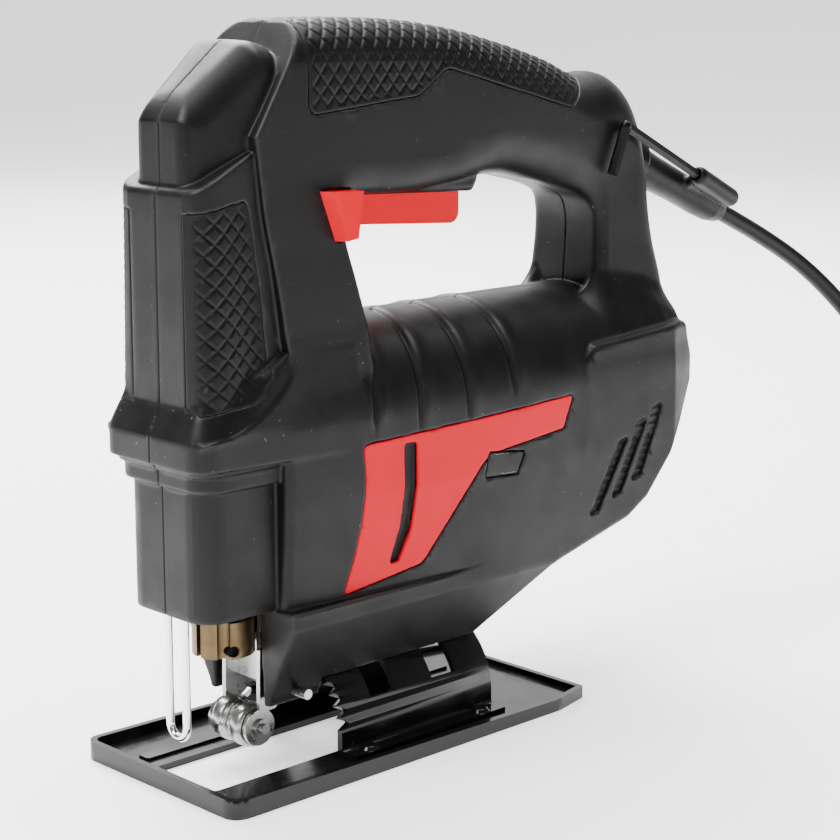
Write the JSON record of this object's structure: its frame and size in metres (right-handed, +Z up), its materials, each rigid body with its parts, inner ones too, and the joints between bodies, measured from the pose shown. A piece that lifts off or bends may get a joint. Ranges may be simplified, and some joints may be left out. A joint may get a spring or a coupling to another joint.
{
  "type": "jigsaw power tool",
  "caption": "Corded jigsaw with a closed loop handle, red trigger, plunger and blade clamp, guide roller, wire finger guard and a tilting slotted base",
  "frame": {"origin": "on the floor, under the middle of the tool's bounding box (lead left out)", "axes": "+X towards the front (blade end), +Y to the tool's left, +Z up"},
  "size_m": [0.3972, 0.1172, 0.2126],
  "materials": {
    "housing_plastic": "fine spark-eroded grain, charcoal black",
    "accent_plastic": "bright red, fine grain",
    "label_plate": "plain black with a thin pale border, blank",
    "soft_grip": "soft moulded elastomer with a diamond relief",
    "inner_plastic": "plain black",
    "lead_rubber": "satin black",
    "zinc_steel": "zinc plated, satin",
    "key_steel": "blackened, lightly oiled",
    "spring_steel": "drawn wire",
    "ground_steel": "ground and polished",
    "lamination_steel": "stacked sheet, dull",
    "copper_winding": "enamelled copper wire",
    "carbon": "pressed carbon",
    "brass": "machined",
    "cast_aluminium": "die cast, dull",
    "gear_plastic": "natural glass-filled nylon",
    "clamp_bronze": "sintered, dull grey-brown",
    "gloss_black_steel": "gloss black enamel on pressed steel",
    "bright_wire": "bright plated wire",
    "pin_brass": "nickel plated brass"
  },
  "bodies": {
    "housing": {"housing_left": "housing_plastic", "housing_right": "housing_plastic", "side_panel_left": "accent_plastic", "side_panel_right": "accent_plastic", "label_plates": "label_plate", "handle_grip_left": "soft_grip", "handle_grip_right": "soft_grip", "front_grip_left": "soft_grip", "front_grip_right": "soft_grip", "housing_screws": "zinc_steel", "switch_body": "inner_plastic", "capacitor": "label_plate", "cord_tail": "lead_rubber", "cord_clamp_bar": "inner_plastic", "cord_clamp_screws": "zinc_steel", "cord_guard": "lead_rubber", "stator_core": "lamination_steel", "field_coils": "copper_winding", "brush_holders": "brass", "carbon_brushes": "carbon", "brush_springs": "spring_steel", "front_bearing": "ground_steel", "rear_bearing": "ground_steel", "gear_plate": "cast_aluminium", "gear_axle": "ground_steel", "plunger_bush_upper": "brass", "plunger_bush_lower": "brass", "wire_guard": "bright_wire", "roller_fork": "zinc_steel", "roller_axle": "zinc_steel", "skirt_pin": "zinc_steel", "base_clamp_screws": "key_steel", "base_clamp_plate": "zinc_steel", "power_cord": "lead_rubber", "cord_coil": "lead_rubber", "cord_tie": "inner_plastic", "plug_lead": "lead_rubber", "plug_body": "lead_rubber", "plug_pins": "pin_brass", "trigger_spring": "spring_steel"},
    "trigger": {"trigger": "accent_plastic"},
    "lock_button": {"lock_button": "accent_plastic"},
    "hex_key": {"hex_key": "key_steel"},
    "armature": {"armature_shaft": "ground_steel", "armature_core": "lamination_steel", "armature_windings": "copper_winding", "commutator": "copper_winding", "cooling_fan": "inner_plastic"},
    "gear": {"drive_gear": "gear_plastic", "crank_pin": "ground_steel", "crank_roller": "ground_steel"},
    "plunger": {"plunger_rod": "ground_steel", "plunger_yoke": "zinc_steel", "blade_clamp": "clamp_bronze", "clamp_screws": "key_steel"},
    "guide_roller": {"guide_roller": "zinc_steel"},
    "base": {"base_plate": "gloss_black_steel", "bevel_bracket": "gloss_black_steel", "bracket_rivets": "gloss_black_steel"}
  },
  "joints": [
    {"name": "trigger_press", "type": "slide", "parent": "housing", "child": "trigger", "axis": [0, 0, 1], "range_m": [0, 0.005], "stiffness_N_per_m": 600, "springref_m": -0.003, "deforming": ["trigger_spring"]},
    {"name": "lock_button_press", "type": "slide", "parent": "housing", "child": "lock_button", "axis": [0, -1, 0], "range_m": [0, 0.0035], "stiffness_N_per_m": 400, "springref_m": -0.002},
    {"name": "gear_turn", "type": "hinge", "parent": "housing", "child": "gear", "pos_m": [0.07411, 0, 0.0746], "axis": [1, 0, 0], "continuous": true},
    {"name": "armature_spin", "type": "hinge", "parent": "housing", "child": "armature", "pos_m": [0.01411, 0, 0.097], "axis": [1, 0, 0], "continuous": true},
    {"name": "plunger_stroke", "type": "slide", "parent": "housing", "child": "plunger", "axis": [0, 0, 1], "range_m": [-0.014, 0.004]},
    {"name": "base_tilt", "type": "hinge", "parent": "housing", "child": "base", "pos_m": [0.04311, 0, 0.008], "axis": [1, 0, 0], "range_deg": [-45, 45]},
    {"name": "guide_roller_spin", "type": "hinge", "parent": "housing", "child": "guide_roller", "pos_m": [0.09311, 0, 0.0125], "axis": [0, 1, 0], "continuous": true},
    {"name": "hex_key_pull", "type": "slide", "parent": "housing", "child": "hex_key", "axis": [0.9152, 0.1373, 0.3789], "range_m": [0, 0.02]}
  ],
  "couplings": [
    {"joint": "armature_spin", "follows": "gear_turn", "ratio": -6}
  ]
}
